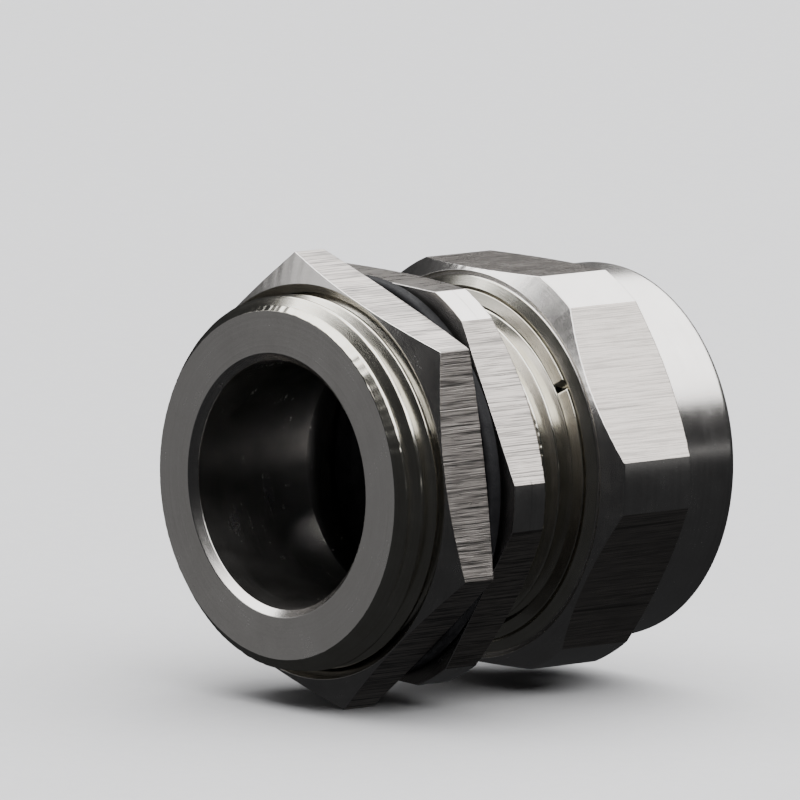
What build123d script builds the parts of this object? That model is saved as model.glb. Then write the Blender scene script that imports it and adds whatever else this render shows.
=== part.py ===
"""Metal cable gland with a PG 21 entry thread, lying with its axis along X.

The origin is on the axis, at the flange's sealing face. The entry thread points to -X and the
dome nut to +X. Each piece is made upright, with heights along the gland's axis from the flange's
face, and is laid along X when it is exported. All sizes are in millimetres.
"""
import os

from build123d import *

os.makedirs("parts", exist_ok=True)

# Hexagons, all cut from the same bar
ACROSS_FLATS = 30.0
FLAT_RADIUS = ACROSS_FLATS / 2

# Turn of each hexagon about the gland's axis, in degrees; at 0 a flat faces straight down
LOCK_NUT_TURN = 19.0
FLANGE_TURN = 1.75
DOME_NUT_TURN = 0.0

# The gland body is made with its thread grooves starting at angle 0, then turned by this much
BODY_TURN = 206.0

# Entry thread, PG 21
ENTRY_LENGTH = 9.2
ENTRY_CREST_RADIUS = 28.3 / 2
ENTRY_ROOT_RADIUS = 13.35
ENTRY_PITCH = 25.4 / 16
ENTRY_ROOT_WIDTH = 0.16
ENTRY_FLANK_SLOPE = 0.75
ENTRY_CHAMFER = 1.0
ENTRY_RELIEF_LENGTH = 1.3
BORE_RADIUS = 9.4
BORE_CHAMFER = 0.55

# Flange
FLANGE_THICKNESS = 4.3
FLANGE_CORNER_RADIUS = 16.4
FLANGE_BACK_EDGE = 3.95
FLANGE_CHAMFER_SLOPE = 0.62
TURNED_LINE_HEIGHT = 1.75
TURNED_LINE_DEPTH = 0.12
TURNED_LINE_WIDTH = 0.16

# Neck, with the dome nut's thread
NECK_END = 16.0
NECK_CREST_RADIUS = 25.0 / 2
NECK_ROOT_RADIUS = 11.6
NECK_PITCH = 1.5
NECK_GROOVE_WIDTH = 0.22
NECK_FLANK_SLOPE = 0.62
NECK_CHAMFER = 0.8
NECK_RELIEF_END = 6.42
CHAMBER_START = 2.4
CHAMBER_RADIUS = 10.6
CHAMBER_CHAMFER = 0.4

# Both threads: how far the cutter stands out past the crest, and the relief beside the thread
GROOVE_OVERCUT = 0.1
RELIEF_UNDERCUT = 0.1
RELIEF_SLOPE_LENGTH = 0.6

# Lock nut, shown run back from the flange
LOCK_NUT_FRONT = -5.8
LOCK_NUT_BACK = -1.55
LOCK_NUT_BORE_RADIUS = ENTRY_CREST_RADIUS + 0.1
LOCK_NUT_COUNTERSINK_RADIUS = 14.9
LOCK_NUT_FRONT_SLOPE = 0.4
LOCK_NUT_BACK_SLOPE = 0.14
LOCK_NUT_CORNER_RADIUS = 17.4

# Entry gasket, between the lock nut and the flange
GASKET_FRONT = -1.48
GASKET_BACK = -0.28
GASKET_RADIUS = 15.3
GASKET_ROUND = 0.25

# Dome nut
DOME_FRONT = 10.0
DOME_END = 24.8
DOME_FACE_RADIUS = 14.75
DOME_FACE_STEP = 0.35
DOME_CORNER_RADIUS = 16.3
DOME_FRONT_SLOPE = 0.65
DOME_BACK_EDGE = 18.75
DOME_BACK_SLOPE = 0.48
DOME_BARREL_RADIUS = 14.3
DOME_END_ROUND = 0.6
DOME_BORE_RADIUS = NECK_CREST_RADIUS + 0.1
DOME_LIP_FRONT = 9.42
DOME_LIP_BACK = 9.72
DOME_LIP_RADIUS = 13.44
DOME_LINE_RADIUS = 13.63
DOME_LINE_BOTTOM = 10.2
DOME_COLLAR_FRONT = 9.8
DOME_COLLAR_BACK = 10.45
DOME_COLLAR_RADIUS = 14.2
DOME_CONE_START = 19.8
DOME_CONE_END = 22.6
DOME_CONE_RADIUS = 11.4
MOUTH_RADIUS = 9.3
MOUTH_CHAMFER = 0.8

# Clamping claw, a slotted sleeve that the dome nut's cone closes on the seal
CLAW_START = 6.65
CLAW_END = 21.6
CLAW_OUTER_RADIUS = 10.5
CLAW_INNER_RADIUS = 9.5
CLAW_TIP_RADIUS = 9.85
CLAW_TAPER_START = 20.73
CLAW_SLOTS = 8
CLAW_SLOT_WIDTH = 1.2
CLAW_SLOT_START = 12.5

# Sealing insert, a rubber sleeve inside the claw
SEAL_START = 6.0
SEAL_COLLAR_END = 6.6
SEAL_END = 18.2
SEAL_OUTER_RADIUS = 9.4
SEAL_COLLAR_RADIUS = 10.3
SEAL_BORE_RADIUS = 7.8
SEAL_MOUTH_CHAMFER = 0.6


def spin(profile, mode=Mode.ADD):
    """Revolve a closed profile of (height along the axis, radius) corners about the axis."""
    with BuildSketch(Plane.XZ) as section:
        Polygon(*[(radius, height) for height, radius in profile], align=None)
    revolve(section.sketch, axis=Axis.Z, mode=mode)


def hexagon(start, end, turn):
    """Add a hexagonal prism along the axis; at turn 0 one flat faces straight down once laid."""
    with BuildSketch(Plane.XY.offset(start)) as section:
        RegularPolygon(radius=FLAT_RADIUS, side_count=6, major_radius=False, rotation=turn + 30)
    extrude(section.sketch, amount=end - start)


def cut_thread(start, end, pitch, root_radius, crest_radius, root_width, flank_slope):
    """Cut a right-hand thread groove round the axis, from half a pitch before start to end."""
    lead_in = pitch / 2
    depth = crest_radius - root_radius + GROOVE_OVERCUT
    half_root = root_width / 2
    half_mouth = half_root + depth * flank_slope
    with BuildLine() as path:
        Helix(pitch, end - start + lead_in, root_radius, center=(0, 0, start - lead_in))
    first = path.line @ 0
    with BuildSketch(Plane(origin=first, x_dir=(first.X, first.Y, 0), z_dir=path.line % 0)) as groove:
        Polygon((0, -half_root), (depth, -half_mouth), (depth, half_mouth), (0, half_root),
                align=None)
    sweep(groove.sketch, path=path.line, is_frenet=True, mode=Mode.SUBTRACT)


def export(part, name):
    """Lay a finished piece along X, label it and write it as its own STEP file."""
    laid = Rot(0, 90, 0) * part
    laid.label = name
    export_step(laid, f"parts/{name}.step")


# Gland body: entry thread, flange and neck in one piece
with BuildPart() as gland_body:
    hexagon(0, FLANGE_THICKNESS, FLANGE_TURN - BODY_TURN)
    spin([
        (0, 0),
        (0, FLANGE_CORNER_RADIUS),
        (FLANGE_BACK_EDGE - FLANGE_CHAMFER_SLOPE * (FLANGE_CORNER_RADIUS - FLAT_RADIUS),
         FLANGE_CORNER_RADIUS),
        (FLANGE_THICKNESS, FLAT_RADIUS - (FLANGE_THICKNESS - FLANGE_BACK_EDGE) / FLANGE_CHAMFER_SLOPE),
        (FLANGE_THICKNESS, 0),
    ], Mode.INTERSECT)
    # The fine line that the lathe tool left round the corners
    spin([
        (TURNED_LINE_HEIGHT - TURNED_LINE_WIDTH / 2, FLANGE_CORNER_RADIUS + TURNED_LINE_DEPTH),
        (TURNED_LINE_HEIGHT, FLANGE_CORNER_RADIUS - TURNED_LINE_DEPTH),
        (TURNED_LINE_HEIGHT + TURNED_LINE_WIDTH / 2, FLANGE_CORNER_RADIUS + TURNED_LINE_DEPTH),
    ], Mode.SUBTRACT)
    spin([
        (-ENTRY_LENGTH, 0),
        (-ENTRY_LENGTH, ENTRY_CREST_RADIUS - ENTRY_CHAMFER),
        (-ENTRY_LENGTH + ENTRY_CHAMFER, ENTRY_CREST_RADIUS),
        (-ENTRY_RELIEF_LENGTH - RELIEF_SLOPE_LENGTH, ENTRY_CREST_RADIUS),
        (-ENTRY_RELIEF_LENGTH, ENTRY_ROOT_RADIUS - RELIEF_UNDERCUT),
        (0, ENTRY_ROOT_RADIUS - RELIEF_UNDERCUT),
        (0, NECK_ROOT_RADIUS - RELIEF_UNDERCUT),
        (NECK_RELIEF_END, NECK_ROOT_RADIUS - RELIEF_UNDERCUT),
        (NECK_RELIEF_END + RELIEF_SLOPE_LENGTH, NECK_CREST_RADIUS),
        (NECK_END - NECK_CHAMFER, NECK_CREST_RADIUS),
        (NECK_END, NECK_CREST_RADIUS - NECK_CHAMFER),
        (NECK_END, 0),
    ])
    cut_thread(-ENTRY_LENGTH, -ENTRY_RELIEF_LENGTH, ENTRY_PITCH, ENTRY_ROOT_RADIUS,
               ENTRY_CREST_RADIUS, ENTRY_ROOT_WIDTH, ENTRY_FLANK_SLOPE)
    cut_thread(NECK_RELIEF_END, NECK_END, NECK_PITCH, NECK_ROOT_RADIUS,
               NECK_CREST_RADIUS, NECK_GROOVE_WIDTH, NECK_FLANK_SLOPE)
    spin([
        (-ENTRY_LENGTH, 0),
        (-ENTRY_LENGTH, BORE_RADIUS + BORE_CHAMFER),
        (-ENTRY_LENGTH + BORE_CHAMFER, BORE_RADIUS),
        (CHAMBER_START, BORE_RADIUS),
        (CHAMBER_START, CHAMBER_RADIUS),
        (NECK_END - CHAMBER_CHAMFER, CHAMBER_RADIUS),
        (NECK_END, CHAMBER_RADIUS + CHAMBER_CHAMFER),
        (NECK_END, 0),
    ], Mode.SUBTRACT)
export(Rot(0, 0, BODY_TURN) * gland_body.part, "gland_body")

# Lock nut: a sharp-cornered hexagon that runs on the entry thread
with BuildPart() as lock_nut:
    hexagon(LOCK_NUT_FRONT, LOCK_NUT_BACK, LOCK_NUT_TURN)
    spin([
        (LOCK_NUT_FRONT, 0),
        (LOCK_NUT_FRONT, FLAT_RADIUS),
        (LOCK_NUT_FRONT + LOCK_NUT_FRONT_SLOPE * (LOCK_NUT_CORNER_RADIUS - FLAT_RADIUS),
         LOCK_NUT_CORNER_RADIUS),
        (LOCK_NUT_BACK - LOCK_NUT_BACK_SLOPE * (LOCK_NUT_CORNER_RADIUS - FLAT_RADIUS),
         LOCK_NUT_CORNER_RADIUS),
        (LOCK_NUT_BACK, FLAT_RADIUS),
        (LOCK_NUT_BACK, 0),
    ], Mode.INTERSECT)
    spin([
        (LOCK_NUT_FRONT, 0),
        (LOCK_NUT_FRONT, LOCK_NUT_COUNTERSINK_RADIUS),
        (LOCK_NUT_FRONT + LOCK_NUT_COUNTERSINK_RADIUS - LOCK_NUT_BORE_RADIUS, LOCK_NUT_BORE_RADIUS),
        (LOCK_NUT_BACK, LOCK_NUT_BORE_RADIUS),
        (LOCK_NUT_BACK, 0),
    ], Mode.SUBTRACT)
export(lock_nut.part, "lock_nut")

# Entry gasket: a flat rubber ring round the entry thread
with BuildPart() as entry_gasket:
    spin([
        (GASKET_FRONT, LOCK_NUT_BORE_RADIUS),
        (GASKET_FRONT, GASKET_RADIUS),
        (GASKET_BACK, GASKET_RADIUS),
        (GASKET_BACK, LOCK_NUT_BORE_RADIUS),
    ])
    fillet(entry_gasket.edges().filter_by(GeomType.CIRCLE).sort_by(SortBy.RADIUS)[-2:],
           GASKET_ROUND)
export(entry_gasket.part, "entry_gasket")

# Dome nut: a hexagon in front, a round barrel behind, and the closing cone inside. A lip and a
# collar stand round its front opening, with a fine line between them.
with BuildPart() as dome_nut:
    hexagon(DOME_LIP_FRONT, DOME_END, DOME_NUT_TURN)
    spin([
        (DOME_LIP_FRONT, 0),
        (DOME_LIP_FRONT, DOME_BORE_RADIUS),
        (DOME_LIP_BACK, DOME_LIP_RADIUS),
        (DOME_LINE_BOTTOM, DOME_LIP_RADIUS),
        (DOME_LINE_BOTTOM, DOME_LINE_RADIUS),
        (DOME_COLLAR_FRONT, DOME_LINE_RADIUS),
        (DOME_COLLAR_BACK, DOME_COLLAR_RADIUS),
        (DOME_FRONT, DOME_FACE_RADIUS),
        (DOME_FRONT + DOME_FACE_STEP, DOME_FACE_RADIUS),
        (DOME_FRONT + DOME_FACE_STEP + DOME_FRONT_SLOPE * (DOME_CORNER_RADIUS - DOME_FACE_RADIUS),
         DOME_CORNER_RADIUS),
        (DOME_BACK_EDGE - DOME_BACK_SLOPE * (DOME_CORNER_RADIUS - FLAT_RADIUS), DOME_CORNER_RADIUS),
        (DOME_BACK_EDGE + DOME_BACK_SLOPE * (FLAT_RADIUS - DOME_BARREL_RADIUS), DOME_BARREL_RADIUS),
        (DOME_END, DOME_BARREL_RADIUS),
        (DOME_END, 0),
    ], Mode.INTERSECT)
    fillet(dome_nut.faces().sort_by(Axis.Z)[-1].outer_wire().edges(), DOME_END_ROUND)
    spin([
        (DOME_LIP_FRONT, 0),
        (DOME_LIP_FRONT, DOME_BORE_RADIUS),
        (DOME_CONE_START, DOME_BORE_RADIUS),
        (DOME_CONE_START, DOME_CONE_RADIUS),
        (DOME_CONE_END, MOUTH_RADIUS),
        (DOME_END - MOUTH_CHAMFER, MOUTH_RADIUS),
        (DOME_END, MOUTH_RADIUS + MOUTH_CHAMFER),
        (DOME_END, 0),
    ], Mode.SUBTRACT)
export(dome_nut.part, "dome_nut")

# Clamping claw: a sleeve whose slotted end makes spring fingers
with BuildPart() as clamping_claw:
    spin([
        (CLAW_START, CLAW_INNER_RADIUS),
        (CLAW_START, CLAW_OUTER_RADIUS),
        (CLAW_TAPER_START, CLAW_OUTER_RADIUS),
        (CLAW_END, CLAW_TIP_RADIUS),
        (CLAW_END, CLAW_INNER_RADIUS),
    ])
    with BuildSketch(Plane.XY.offset(CLAW_SLOT_START)) as slots:
        with PolarLocations(CLAW_OUTER_RADIUS, CLAW_SLOTS):
            Rectangle(2 * (CLAW_OUTER_RADIUS - CLAW_INNER_RADIUS) + CLAW_SLOT_WIDTH, CLAW_SLOT_WIDTH)
    extrude(slots.sketch, amount=CLAW_END - CLAW_SLOT_START, mode=Mode.SUBTRACT)
export(clamping_claw.part, "clamping_claw")

# Sealing insert: a rubber sleeve inside the claw, with a collar in front of the claw's end
with BuildPart() as sealing_insert:
    spin([
        (SEAL_START, SEAL_BORE_RADIUS + SEAL_MOUTH_CHAMFER),
        (SEAL_START, SEAL_COLLAR_RADIUS),
        (SEAL_COLLAR_END, SEAL_COLLAR_RADIUS),
        (SEAL_COLLAR_END, SEAL_OUTER_RADIUS),
        (SEAL_END, SEAL_OUTER_RADIUS),
        (SEAL_END, SEAL_BORE_RADIUS + SEAL_MOUTH_CHAMFER),
        (SEAL_END - SEAL_MOUTH_CHAMFER, SEAL_BORE_RADIUS),
        (SEAL_START + SEAL_MOUTH_CHAMFER, SEAL_BORE_RADIUS),
    ])
export(sealing_insert.part, "sealing_insert")
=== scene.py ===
"""Stainless-steel cable gland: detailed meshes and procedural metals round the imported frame.

Everything is in the frame's own axes, with the gland's axis along X. Sizes are in millimetres up
to the point where a mesh is made, and in metres from there on. Profiles run round the axis as
(x, radius) corners; an angle round the axis is measured from +Y towards +Z.
"""
import math

import bpy
import numpy as np
from mathutils import Matrix, Vector


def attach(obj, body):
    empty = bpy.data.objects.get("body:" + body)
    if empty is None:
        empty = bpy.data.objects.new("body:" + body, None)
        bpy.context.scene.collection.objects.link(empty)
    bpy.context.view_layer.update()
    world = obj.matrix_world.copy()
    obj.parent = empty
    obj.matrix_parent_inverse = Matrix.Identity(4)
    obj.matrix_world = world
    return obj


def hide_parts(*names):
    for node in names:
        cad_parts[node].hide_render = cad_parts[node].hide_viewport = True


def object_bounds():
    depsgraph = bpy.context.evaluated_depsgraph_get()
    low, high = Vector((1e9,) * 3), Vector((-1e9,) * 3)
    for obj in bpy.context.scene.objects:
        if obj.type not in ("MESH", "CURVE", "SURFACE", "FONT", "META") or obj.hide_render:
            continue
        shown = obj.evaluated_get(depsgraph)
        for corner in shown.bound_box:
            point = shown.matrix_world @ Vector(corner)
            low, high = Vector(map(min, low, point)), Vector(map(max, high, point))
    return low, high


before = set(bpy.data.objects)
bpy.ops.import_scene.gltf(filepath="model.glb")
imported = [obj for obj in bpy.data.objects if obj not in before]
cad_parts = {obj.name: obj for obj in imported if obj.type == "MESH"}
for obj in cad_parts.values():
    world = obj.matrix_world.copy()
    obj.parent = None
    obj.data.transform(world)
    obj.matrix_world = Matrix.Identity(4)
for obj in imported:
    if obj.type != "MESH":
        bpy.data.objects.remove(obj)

cad_low, cad_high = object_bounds()

# Metres in a millimetre, for meshes and bump depths
MM = 0.001

# Every hexagon: the distance from the axis to a flat
FLAT_RADIUS = 15.0

# Turn of each hexagon about the axis, in degrees; at 0 a flat faces straight up
FLANGE_TURN = 1.75
LOCK_NUT_TURN = 19.0
DOME_NUT_TURN = 0.0

# Corners: two hexagons are turned down to a radius, the lock nut's are left sharp with a small round
FLANGE_CORNER_RADIUS = 16.4
DOME_CORNER_RADIUS = 16.3
SHARP_CORNER_ROUND = 0.12

# Chamfers on the hexagons: how far along the axis each goes for a millimetre of radius
FLANGE_BACK_SLOPE = 0.62
LOCK_NUT_FRONT_SLOPE = 0.4
LOCK_NUT_BACK_SLOPE = 0.14
DOME_FRONT_SLOPE = 0.65
DOME_BACK_SLOPE = 0.48

# Columns of the mesh across a flat and across a corner, and the gap in degrees between the two
# columns that mark an edge, for a turned-down corner and for a sharp one
FLAT_COLUMNS = 61
CORNER_COLUMNS = 13
TURNED_EDGE_GAP = 0.12
SHARP_EDGE_GAP = 0.04

# Columns round a piece with no flats
ROUND_COLUMNS = 180

# Softness of a machined edge, the steps of its round, the most of a profile's side that one round
# may take, and how far past the round a guard row keeps the shading flat
SOFT_EDGE = 0.07
ROUNDING = (0.0, 0.3, 0.7, 1.0)
MOST_OF_SIDE = 0.45
GUARD = 0.1

# Lengths and angles smaller than these count as nothing
TINY_LENGTH = 1e-9
TINY_ANGLE = 1e-6

# Unevenness of an edge: how many waves are added, how many turns each may have round the axis, and
# a gain that makes up for the waves cancelling each other
WAVES = 24
FEWEST_TURNS = 15
MOST_TURNS = 150
WAVE_GAIN = 3

# Threads: the spacing of the mesh rows, the unevenness of the crests, and the angle at which the
# place of a groove is given
THREAD_ROW = 0.05
CREST_WANDER = 0.03
THREAD_MARK = math.radians(120)

# The notch in the dome nut's lip
LIP_SLIT = math.radians(146)
LIP_SLIT_HALF = math.radians(1.3)

# Index of each finish in a metal piece's material list
TURNED = 0
DRAWN = 1
THREADED = 2

# The one finish of a rubber piece
MOULDED = 0

# Half the width of the floor, in metres
FLOOR_HALF = 4.0


# ---------------------------------------------------------------- shapes

def hexagon(turn, corner_radius=None):
    """Angles round the axis, and the hexagon's radius at each, with corners turned or left sharp."""
    sector = math.radians(60)
    if corner_radius:
        edge = math.acos(FLAT_RADIUS / corner_radius)
        gap = math.radians(TURNED_EDGE_GAP)
    else:
        centre = (FLAT_RADIUS - SHARP_CORNER_ROUND) / math.cos(sector / 2)
        edge = math.atan(centre * math.sin(sector / 2) / FLAT_RADIUS)
        gap = math.radians(SHARP_EDGE_GAP)
    flat = np.concatenate([np.linspace(-edge + gap, edge - gap, FLAT_COLUMNS), [edge]])
    corner = np.concatenate([np.linspace(edge + gap, sector - edge - gap, CORNER_COLUMNS), [sector - edge]])
    if corner_radius:
        outer_radius = np.full(len(corner), corner_radius)
    else:
        off = corner - sector / 2
        inside = np.maximum(SHARP_CORNER_ROUND ** 2 - (centre * np.sin(off)) ** 2, 0)
        outer_radius = centre * np.cos(off) + np.sqrt(inside)
    one_sector = np.concatenate([flat, corner])
    one_radius = np.concatenate([FLAT_RADIUS / np.cos(flat), outer_radius])
    first = math.radians(90 + turn)
    angles = np.concatenate([one_sector + first + sector * side for side in range(6)])
    return angles, np.tile(one_radius, 6)


def circle():
    """Even angles round the axis, for a piece with no flats."""
    return np.arange(ROUND_COLUMNS) * 2 * math.pi / ROUND_COLUMNS


def ragged(angles, amount, seed):
    """A slight unevenness round an edge, as a cutting tool leaves it."""
    dice = np.random.default_rng(seed)
    turns = dice.integers(FEWEST_TURNS, MOST_TURNS, WAVES)
    phases = dice.uniform(0, 2 * math.pi, WAVES)
    return amount * np.sin(np.outer(angles, turns) + phases).mean(axis=1) * WAVE_GAIN


def section(corners, angles):
    """Rows of a closed profile of (x, radius, finish after it, softness) corners.

    A corner with some softness is rounded, with a guard row on each side.
    """
    spread = np.zeros(len(angles))
    points = [np.array([x + spread, radius + spread]) for x, radius, *_ in corners]
    rows = []
    for index, (_, _, finish, soft) in enumerate(corners):
        here = points[index]
        if not soft:
            rows.append((*here, finish))
            continue
        back = points[index - 1] - here
        ahead = points[(index + 1) % len(points)] - here
        back_length = np.maximum(np.linalg.norm(back, axis=0), TINY_LENGTH)
        ahead_length = np.maximum(np.linalg.norm(ahead, axis=0), TINY_LENGTH)
        start = here + back * np.minimum(soft / back_length, MOST_OF_SIDE)
        end = here + ahead * np.minimum(soft / ahead_length, MOST_OF_SIDE)
        earlier = corners[index - 1][2]
        rows.append((*(start + GUARD * (start - here)), earlier))
        for step in ROUNDING:
            point = (1 - step) ** 2 * start + 2 * step * (1 - step) * here + step ** 2 * end
            rows.append((*point, earlier if step < 0.5 else finish))
        rows.append((*(end + GUARD * (end - here)), finish))
    return rows


def thread(envelope, root_radius, pitch, groove_middle, root_width, flank_slope, angles, seed):
    """Corners of a right-hand thread, row by row, cut into an envelope of (x, radius) points.

    groove_middle is where the middle of one groove crosses the angle THREAD_MARK. Each flank goes
    flank_slope along the axis for a millimetre of radius.
    """
    start, end = envelope[0][0], envelope[-1][0]
    heights = np.linspace(start, end, round((end - start) / THREAD_ROW) + 1)
    turns = (angles - THREAD_MARK) / (2 * math.pi)
    wander = ragged(angles, CREST_WANDER, seed)
    corners = []
    for x in heights:
        outer = np.interp(x + wander, *zip(*envelope))
        off = (x - groove_middle - pitch * turns + pitch / 2) % pitch - pitch / 2
        groove = root_radius + np.maximum(np.abs(off) - root_width / 2, 0) / flank_slope
        corners.append((x, np.minimum(outer, groove), THREADED, 0))
    return corners


def on_corners(angles, turn, corner_radius):
    """Whether each angle lies on one of the hexagon's turned-down corners."""
    sector = math.radians(60)
    off = (angles - math.radians(90 + turn) + sector / 2) % sector - sector / 2
    return np.abs(off) > math.acos(FLAT_RADIUS / corner_radius) - TINY_ANGLE


def solid(name, rows, angles, body, node, finishes, corners=None):
    """Make a piece from its rows, closed round the axis and round its profile.

    Where corners is true, the turned finish takes the place of the drawn one.
    """
    x = np.array([row[0] for row in rows])
    radius = np.array([row[1] for row in rows])
    places = np.stack([x, radius * np.cos(angles), radius * np.sin(angles)], axis=-1) * MM
    count, around = x.shape
    row = np.arange(count)[:, None]
    column = np.arange(around)[None, :]
    next_row = (row + 1) % count
    next_column = (column + 1) % around
    faces = np.stack([
        row * around + column,
        next_row * around + column,
        next_row * around + next_column,
        row * around + next_column,
    ], axis=-1).reshape(-1, 4)
    mesh = bpy.data.meshes.new(name)
    mesh.from_pydata(places.reshape(-1, 3).tolist(), [], faces.tolist())
    face_finish = np.tile(np.array([row[2] for row in rows])[:, None], around)
    if corners is not None:
        between_corners = corners & np.roll(corners, -1)
        face_finish[(face_finish == DRAWN) & between_corners] = TURNED
    mesh.polygons.foreach_set("material_index", face_finish.reshape(-1))
    mesh.polygons.foreach_set("use_smooth", np.ones(len(faces), dtype=bool))
    for finish in finishes:
        mesh.materials.append(finish)
    piece = bpy.data.objects.new(name, mesh)
    bpy.context.scene.collection.objects.link(piece)
    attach(piece, body)
    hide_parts(node)


def make_gland_body(finishes):
    """Entry thread, flange and neck, with the bore and the chamber through them."""
    angles, across = hexagon(FLANGE_TURN, FLANGE_CORNER_RADIUS)
    entry = thread(
        [(-9.2, 13.15), (-8.2, 14.15), (-1.9, 14.15), (-1.3, 13.25)],
        root_radius=13.35, pitch=25.4 / 16, groove_middle=-6.8, root_width=0.16, flank_slope=0.75,
        angles=angles, seed=3)
    neck = thread(
        [(6.42, 11.5), (7.02, 12.5), (15.2, 12.5), (16.0, 11.7)],
        root_radius=11.6, pitch=1.5, groove_middle=8.685, root_width=0.22, flank_slope=0.62,
        angles=angles, seed=4)
    front_edge = ragged(angles, 0.01, seed=5)
    back_edge = 3.95 - FLANGE_BACK_SLOPE * (across - FLAT_RADIUS) + ragged(angles, 0.03, seed=6)
    turned_line = np.minimum(across, 16.34)
    rows = section([
        (-9.2, 9.95, TURNED, 0.05),
        (-9.2, 13.1, TURNED, 0.05),
        *entry,
        (0.0, 13.25, TURNED, 0.05),
        (front_edge, across, DRAWN, SOFT_EDGE),
        (1.66, across, DRAWN, 0),
        (1.70, across, DRAWN, 0),
        (1.75, turned_line, DRAWN, 0),
        (1.80, across, DRAWN, 0),
        (1.84, across, DRAWN, 0),
        (back_edge, across, TURNED, SOFT_EDGE),
        (4.3, 14.44, TURNED, SOFT_EDGE),
        (4.3, 11.5, TURNED, 0.05),
        *neck,
        (16.0, 11.0, TURNED, 0.05),
        (15.6, 10.6, TURNED, 0.05),
        (2.4, 10.6, TURNED, 0.05),
        (2.4, 9.4, TURNED, 0.05),
        (-8.65, 9.4, TURNED, 0.05),
    ], angles)
    solid("turned_body", rows, angles, "gland", "gland_body", finishes,
          on_corners(angles, FLANGE_TURN, FLANGE_CORNER_RADIUS))


def make_lock_nut(finishes):
    """A sharp-cornered hexagon nut with a countersunk bore."""
    angles, across = hexagon(LOCK_NUT_TURN)
    front_edge = -5.8 + LOCK_NUT_FRONT_SLOPE * (across - 14.9) + ragged(angles, 0.02, seed=11)
    back_edge = -1.55 - LOCK_NUT_BACK_SLOPE * (across - 14.6) + ragged(angles, 0.02, seed=12)
    rows = section([
        (-5.15, 14.25, TURNED, 0.04),
        (-5.8, 14.9, TURNED, 0.04),
        (front_edge, across, DRAWN, SOFT_EDGE),
        (back_edge, across, TURNED, SOFT_EDGE),
        (-1.55, 14.6, TURNED, 0.04),
        (-1.55, 14.25, TURNED, 0.04),
    ], angles)
    solid("hexagon_nut", rows, angles, "lock_nut", "lock_nut", finishes)


def make_dome_nut(finishes):
    """A nut with a notched lip, a collar and a hexagon in front, and a round barrel behind."""
    angles, across = hexagon(DOME_NUT_TURN, DOME_CORNER_RADIUS)
    front_edge = 10.35 + DOME_FRONT_SLOPE * (across - 14.75) + ragged(angles, 0.02, seed=21)
    back_edge = 18.75 - DOME_BACK_SLOPE * (across - FLAT_RADIUS) + ragged(angles, 0.02, seed=22)
    slit = np.abs((angles - LIP_SLIT + math.pi) % (2 * math.pi) - math.pi) < LIP_SLIT_HALF
    rows = section([
        (np.where(slit, 10.1, 9.42), 12.6, THREADED, 0.03),
        (np.where(slit, 10.15, 9.72), 13.44, THREADED, 0.05),
        (10.2, 13.44, THREADED, 0),
        (10.2, 13.63, THREADED, 0),
        (9.8, 13.63, THREADED, 0.05),
        (10.3, 14.38, TURNED, 0.08),
        (10.45, 14.5, TURNED, 0.04),
        (10.2, 14.75, TURNED, SOFT_EDGE),
        (front_edge, across, DRAWN, SOFT_EDGE),
        (back_edge, across, TURNED, SOFT_EDGE),
        (19.09, 14.3, TURNED, 0.1),
        (24.8, 14.3, TURNED, 0.6),
        (24.8, 10.1, TURNED, 0.1),
        (24.0, 9.3, TURNED, 0.1),
        (22.6, 9.3, TURNED, 0.1),
        (19.8, 11.4, TURNED, 0.1),
        (19.8, 12.6, TURNED, 0.1),
    ], angles)
    solid("domed_nut", rows, angles, "dome_nut", "dome_nut", finishes,
          on_corners(angles, DOME_NUT_TURN, DOME_CORNER_RADIUS))


def make_gasket(rubber):
    """A flat rubber ring with rounded outer edges."""
    angles = circle()
    rows = section([
        (-1.48, 14.25, MOULDED, 0.08),
        (-1.48, 15.3, MOULDED, 0.3),
        (-0.28, 15.3, MOULDED, 0.3),
        (-0.28, 14.25, MOULDED, 0.08),
    ], angles)
    solid("rubber_ring", rows, angles, "gasket", "entry_gasket", [rubber])


def make_insert(rubber):
    """A rubber sleeve with a collar at its inner end and three shallow grip rings in its bore."""
    angles = circle()
    ring_rows = []
    for middle in (15.0, 12.2, 9.4):
        for off, rise in ((1.0, 0.0), (0.4, 0.22), (-0.4, 0.22), (-1.0, 0.0)):
            ring_rows.append((middle + off, 7.8 + rise, MOULDED, 0.12))
    rows = section([
        (6.0, 8.4, MOULDED, 0.1),
        (6.0, 10.3, MOULDED, 0.15),
        (6.6, 10.3, MOULDED, 0.1),
        (6.6, 9.4, MOULDED, 0.05),
        (18.2, 9.4, MOULDED, 0.15),
        (18.2, 8.4, MOULDED, 0.15),
        (17.6, 7.8, MOULDED, 0.15),
        *ring_rows,
        (6.6, 7.8, MOULDED, 0.15),
    ], angles)
    solid("rubber_sleeve", rows, angles, "clamp", "sealing_insert", [rubber])


# ---------------------------------------------------------------- materials

# Turned faces, and the duller metal between their rings
STEEL = (0.62, 0.60, 0.58)
STEEL_DULL = (0.50, 0.48, 0.46)

# Threads, with a trace of cutting oil
OILED = (0.60, 0.58, 0.52)
OILED_DULL = (0.48, 0.455, 0.39)

# Drawn flats on the lock nut, greyer ones on the flange and the dome nut, and the lines along both
DRAWN_STEEL = (0.48, 0.44, 0.41)
DRAWN_GREY = (0.38, 0.35, 0.325)
DARK_LINE = (0.10, 0.095, 0.09)

# Rubber and nylon, each with its paler share
RUBBER = (0.005, 0.005, 0.006)
RUBBER_BLOOM = (0.012, 0.012, 0.013)
NYLON = (0.03, 0.03, 0.032)
NYLON_PALE = (0.055, 0.055, 0.058)

# The two shades of the floor's speckle
FLOOR = (0.47, 0.47, 0.48)
FLOOR_PALE = (0.51, 0.51, 0.52)


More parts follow.
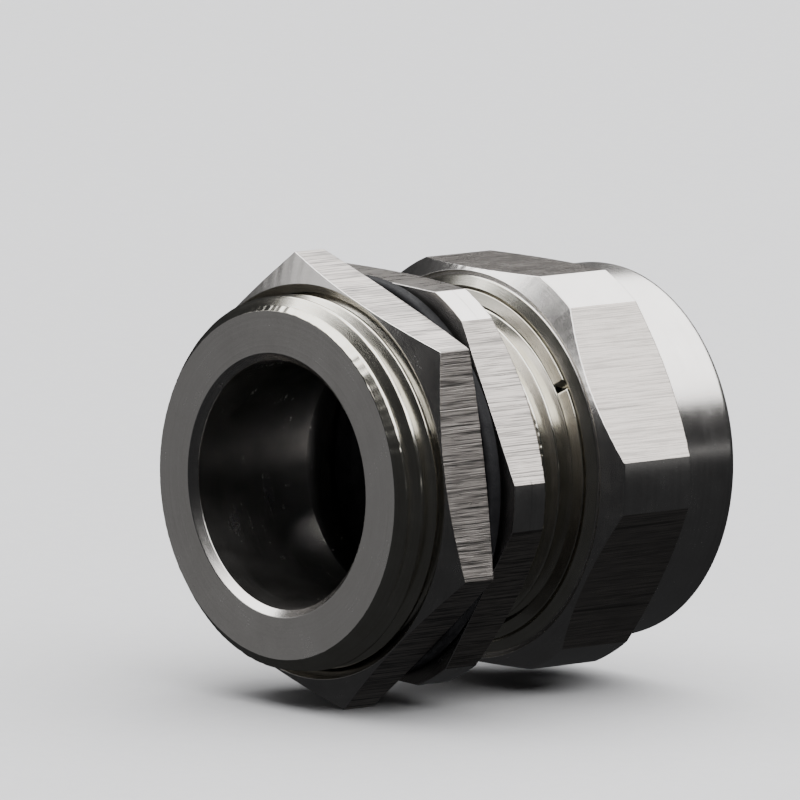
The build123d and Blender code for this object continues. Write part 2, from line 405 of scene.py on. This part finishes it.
class Nodes:
    """Short calls for building one material's node tree."""

    def __init__(self, name):
        self.material = bpy.data.materials.new(name)
        self.material.use_nodes = True
        self.tree = self.material.node_tree
        self.tree.nodes.clear()
        self.shader = self.tree.nodes.new("ShaderNodeBsdfPrincipled")
        output = self.tree.nodes.new("ShaderNodeOutputMaterial")
        self.link(self.shader.outputs["BSDF"], output.inputs["Surface"])

    def link(self, source, target):
        self.tree.links.new(source, target)

    def put(self, value, socket):
        """Set a socket to a number, or link it to another node's socket."""
        if isinstance(value, bpy.types.NodeSocket):
            self.link(value, socket)
        else:
            socket.default_value = value

    def maths(self, operation, first, second=0.0):
        node = self.tree.nodes.new("ShaderNodeMath")
        node.operation = operation
        self.put(first, node.inputs[0])
        self.put(second, node.inputs[1])
        return node.outputs[0]

    def mix_numbers(self, share, first, second):
        """Two numbers mixed, with a given share of the second."""
        node = self.tree.nodes.new("ShaderNodeMix")
        node.data_type = "FLOAT"
        for value, name in ((share, "Factor"), (first, "A"), (second, "B")):
            self.put(value, node.inputs[name])
        return node.outputs["Result"]

    def join(self, x, y, z):
        node = self.tree.nodes.new("ShaderNodeCombineXYZ")
        for value, socket in zip((x, y, z), node.inputs):
            self.put(value, socket)
        return node.outputs[0]

    def noise(self, place, scale, detail, rough):
        node = self.tree.nodes.new("ShaderNodeTexNoise")
        self.link(place, node.inputs["Vector"])
        node.inputs["Scale"].default_value = scale
        node.inputs["Detail"].default_value = detail
        node.inputs["Roughness"].default_value = rough
        return node.outputs["Fac"]

    def rescale(self, value, low, high, to_low, to_high):
        """A number moved from one range to another, and kept within it."""
        node = self.tree.nodes.new("ShaderNodeMapRange")
        self.link(value, node.inputs["Value"])
        for name, number in (("From Min", low), ("From Max", high), ("To Min", to_low), ("To Max", to_high)):
            node.inputs[name].default_value = number
        return node.outputs["Result"]

    def blend(self, factor, first, second):
        """Two colours mixed, with a given share of the second."""
        node = self.tree.nodes.new("ShaderNodeMix")
        node.data_type = "RGBA"
        self.put(factor, node.inputs["Factor"])
        node.inputs["A"].default_value = (*first, 1.0)
        node.inputs["B"].default_value = (*second, 1.0)
        return node.outputs["Result"]

    def bump(self, height, depth_mm):
        node = self.tree.nodes.new("ShaderNodeBump")
        node.inputs["Distance"].default_value = depth_mm * MM
        self.link(height, node.inputs["Height"])
        return node.outputs["Normal"]

    def place_in_mm(self):
        """The place on the object along X, Y and Z, in millimetres."""
        place = self.tree.nodes.new("ShaderNodeTexCoord").outputs["Object"]
        split = self.tree.nodes.new("ShaderNodeSeparateXYZ")
        self.link(place, split.inputs[0])
        return [self.maths("MULTIPLY", socket, 1 / MM) for socket in split.outputs]

    def round_axis(self, y, z):
        """The distance from the axis, and the direction from it as a share along Y and along Z."""
        squares = self.maths("ADD", self.maths("MULTIPLY", y, y), self.maths("MULTIPLY", z, z))
        radius = self.maths("SQRT", squares)
        return radius, self.maths("DIVIDE", y, radius), self.maths("DIVIDE", z, radius)


def set_metal(nodes, roughness, anisotropy, turn):
    """Metal whose gloss spreads across its tool marks; a quarter turn suits rings round the axis."""
    nodes.shader.inputs["Metallic"].default_value = 1.0
    nodes.shader.inputs["Anisotropic"].default_value = anisotropy
    nodes.shader.inputs["Anisotropic Rotation"].default_value = turn
    nodes.put(roughness, nodes.shader.inputs["Roughness"])
    tangent = nodes.tree.nodes.new("ShaderNodeTangent")
    tangent.direction_type = "RADIAL"
    tangent.axis = "X"
    nodes.link(tangent.outputs[0], nodes.shader.inputs["Tangent"])


def turned_steel(name, colour, dull, gloss, anisotropy, depth, grain_share):
    """Steel with the fine rings of a lathe tool, over a slightly clouded, grainy surface."""
    nodes = Nodes(name)
    x, y, z = nodes.place_in_mm()
    radius, across, up = nodes.round_axis(y, z)
    place = nodes.join(x, y, z)
    rings_per_mm = 5.0
    along = nodes.maths("MULTIPLY", x, rings_per_mm)
    outward = nodes.maths("ADD", nodes.maths("MULTIPLY", radius, rings_per_mm), across)
    rings = nodes.noise(nodes.join(along, outward, up), scale=1.0, detail=4.0, rough=0.7)
    cloud = nodes.noise(place, scale=0.4, detail=3.0, rough=0.6)
    grain = nodes.noise(place, scale=9.0, detail=2.0, rough=0.6)
    marks = nodes.mix_numbers(grain_share, rings, grain)
    shade = nodes.rescale(nodes.mix_numbers(0.35, marks, cloud), 0.36, 0.62, 0.0, 1.0)
    roughness = nodes.rescale(nodes.mix_numbers(0.5, marks, cloud), 0.3, 0.7, *gloss)
    nodes.put(nodes.blend(shade, dull, colour), nodes.shader.inputs["Base Color"])
    set_metal(nodes, roughness, anisotropy, turn=0.25)
    nodes.put(nodes.bump(marks, depth), nodes.shader.inputs["Normal"])
    return nodes.material


def drawn_steel(name, colour, dull, gloss, depth, line_shade):
    """Bar stock with the dense, broken lines that drawing leaves along it, and a few long scores."""
    nodes = Nodes(name)
    x, y, z = nodes.place_in_mm()

    def along(stretch, fineness):
        return nodes.join(nodes.maths("MULTIPLY", x, stretch), nodes.maths("MULTIPLY", y, fineness),
                          nodes.maths("MULTIPLY", z, fineness))

    cloud = nodes.noise(nodes.join(x, y, z), scale=0.5, detail=3.0, rough=0.6)
    lines = nodes.noise(along(0.3, 8.5), scale=1.0, detail=2.0, rough=0.6)
    hairs = nodes.noise(along(0.1, 13.0), scale=1.0, detail=1.0, rough=0.5)
    bands = nodes.noise(along(0.04, 2.2), scale=1.0, detail=1.0, rough=0.5)
    scores = nodes.rescale(bands, 0.70, 0.74, 0.0, 1.0)
    marks = nodes.mix_numbers(0.5, lines, hairs)
    line_light = nodes.rescale(marks, 0.40, 0.56, 1.0 - line_shade, 1.0)
    score_light = nodes.rescale(scores, 0.0, 1.0, 1.0, 0.45)
    light = nodes.maths("MULTIPLY", line_light, score_light)
    roughness = nodes.rescale(nodes.mix_numbers(0.5, lines, cloud), 0.3, 0.7, *gloss)
    heights = nodes.maths("SUBTRACT", marks, nodes.maths("MULTIPLY", scores, 0.5))
    nodes.put(nodes.blend(light, dull, colour), nodes.shader.inputs["Base Color"])
    set_metal(nodes, roughness, anisotropy=0.55, turn=0.0)
    nodes.put(nodes.bump(heights, depth), nodes.shader.inputs["Normal"])
    return nodes.material


def black_rubber(name):
    """Moulded rubber with a faint bloom and fine pits."""
    nodes = Nodes(name)
    place = nodes.join(*nodes.place_in_mm())
    bloom = nodes.rescale(nodes.noise(place, scale=0.6, detail=3.0, rough=0.6), 0.35, 0.7, 0.0, 1.0)
    pits = nodes.noise(place, scale=7.0, detail=3.0, rough=0.6)
    nodes.put(nodes.blend(bloom, RUBBER, RUBBER_BLOOM), nodes.shader.inputs["Base Color"])
    nodes.put(nodes.rescale(pits, 0.3, 0.7, 0.6, 0.8), nodes.shader.inputs["Roughness"])
    nodes.shader.inputs["Specular IOR Level"].default_value = 0.15
    nodes.put(nodes.bump(pits, 0.03), nodes.shader.inputs["Normal"])
    return nodes.material


def dark_nylon(name):
    """Moulded dark nylon with flow marks along it."""
    nodes = Nodes(name)
    x, y, z = nodes.place_in_mm()
    flow_place = nodes.join(nodes.maths("MULTIPLY", x, 0.3), y, z)
    flow = nodes.noise(flow_place, scale=1.2, detail=3.0, rough=0.6)
    grain = nodes.noise(nodes.join(x, y, z), scale=12.0, detail=2.0, rough=0.5)
    shade = nodes.rescale(flow, 0.35, 0.65, 0.0, 1.0)
    nodes.put(nodes.blend(shade, NYLON, NYLON_PALE), nodes.shader.inputs["Base Color"])
    nodes.put(nodes.rescale(flow, 0.3, 0.7, 0.35, 0.5), nodes.shader.inputs["Roughness"])
    nodes.put(nodes.bump(grain, 0.01), nodes.shader.inputs["Normal"])
    return nodes.material


# ---------------------------------------------------------------- studio

def make_floor():
    """A plain pale floor at the lowest edge.

    It is left out of the metal's reflections, and it lets the low lights through.
    """
    low = cad_low.z
    corners = [
        (-FLOOR_HALF, -FLOOR_HALF, low),
        (FLOOR_HALF, -FLOOR_HALF, low),
        (FLOOR_HALF, FLOOR_HALF, low),
        (-FLOOR_HALF, FLOOR_HALF, low),
    ]
    mesh = bpy.data.meshes.new("floor")
    mesh.from_pydata(corners, [], [(0, 1, 2, 3)])
    floor = bpy.data.objects.new("floor", mesh)
    bpy.context.scene.collection.objects.link(floor)
    nodes = Nodes("pale_floor")
    place = nodes.tree.nodes.new("ShaderNodeTexCoord").outputs["Object"]
    speckle = nodes.noise(place, scale=900.0, detail=2.0, rough=0.5)
    nodes.put(nodes.blend(speckle, FLOOR, FLOOR_PALE), nodes.shader.inputs["Base Color"])
    nodes.shader.inputs["Roughness"].default_value = 0.6
    mesh.materials.append(nodes.material)
    floor.visible_glossy = False
    floor.visible_shadow = False


def make_softbox(name, place, facing, width, height, power):
    """A soft area light at a place, shining the way it faces."""
    data = bpy.data.lights.new(name, "AREA")
    data.shape = "RECTANGLE"
    data.size = width
    data.size_y = height
    data.energy = power
    lamp = bpy.data.objects.new(name, data)
    lamp.location = place
    lamp.rotation_mode = "QUATERNION"
    lamp.rotation_quaternion = (-Vector(facing)).to_track_quat("Z", "Y")
    bpy.context.scene.collection.objects.link(lamp)


def make_world(colour, strength):
    """Even dim light from all round the studio."""
    world = bpy.data.worlds.new("studio")
    world.use_nodes = True
    background = world.node_tree.nodes["Background"]
    background.inputs["Color"].default_value = (*colour, 1.0)
    background.inputs["Strength"].default_value = strength
    bpy.context.scene.world = world


def make_camera():
    """A long lens looking at the entry end from the side, a little above the object."""
    data = bpy.data.cameras.new("camera")
    data.lens = 766.05
    data.sensor_width = 36.0
    data.clip_start = 0.05
    data.clip_end = 50.0
    camera = bpy.data.objects.new("camera", data)
    azimuth = math.radians(-42.58)
    elevation = math.radians(8.36)
    roll = math.radians(1.34)
    target = Vector((0.005788, 0.002829, 0.004910))
    distance = 1.2874
    back = Vector((math.sin(azimuth) * math.cos(elevation), -math.cos(azimuth) * math.cos(elevation),
                   math.sin(elevation)))
    level_right = Vector((0, 0, 1)).cross(back).normalized()
    level_up = back.cross(level_right)
    right = level_right * math.cos(roll) + level_up * math.sin(roll)
    up = level_up * math.cos(roll) - level_right * math.sin(roll)
    turn = Matrix((right, up, back)).transposed()
    camera.matrix_world = Matrix.Translation(target + back * distance) @ turn.to_4x4()
    bpy.context.scene.collection.objects.link(camera)
    bpy.context.scene.camera = camera


# ---------------------------------------------------------------- the object

face_steel = turned_steel(
    "turned_steel", STEEL, STEEL_DULL, gloss=(0.20, 0.29), anisotropy=0.5, depth=0.003, grain_share=0.5)
thread_steel = turned_steel(
    "thread_steel", OILED, OILED_DULL, gloss=(0.14, 0.22), anisotropy=0.4, depth=0.0012, grain_share=0.3)
lock_nut_flats = drawn_steel(
    "lock_nut_flats", DRAWN_STEEL, DARK_LINE, gloss=(0.26, 0.38), depth=0.03, line_shade=1.0)
flange_flats = drawn_steel(
    "flange_flats", DRAWN_GREY, DARK_LINE, gloss=(0.24, 0.34), depth=0.015, line_shade=0.9)
dome_nut_flats = drawn_steel(
    "dome_nut_flats", DRAWN_GREY, DARK_LINE, gloss=(0.22, 0.30), depth=0.008, line_shade=0.5)
seal_rubber = black_rubber("black_rubber")
claw_nylon = dark_nylon("dark_nylon")

# Each list is in the order of the finish indexes: turned, drawn, threaded
make_gland_body([face_steel, flange_flats, thread_steel])
make_lock_nut([face_steel, lock_nut_flats, thread_steel])
make_dome_nut([face_steel, dome_nut_flats, thread_steel])
make_gasket(seal_rubber)
make_insert(seal_rubber)
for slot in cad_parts["clamping_claw"].material_slots:
    slot.material = claw_nylon

make_floor()
make_softbox("overhead", place=(0.75, -0.35, 1.5), facing=(0, 0, -1), width=3.7, height=4.1, power=250.0)
make_softbox("back_left_high", place=(-1.3, 1.6, 1.1), facing=(0.56, -0.69, -0.47),
             width=1.2, height=0.9, power=4.5)
make_softbox("back_left_low", place=(-0.88, 1.16, 0.08), facing=(0.6, -0.8, 0.0),
             width=1.05, height=1.0, power=0.65)
make_softbox("horizon", place=(0.9, -0.98, 0.06), facing=(-0.67, 0.73, 0.0),
             width=0.5, height=0.03, power=0.06)
make_world(colour=(0.8, 0.82, 0.86), strength=0.042)
make_camera()
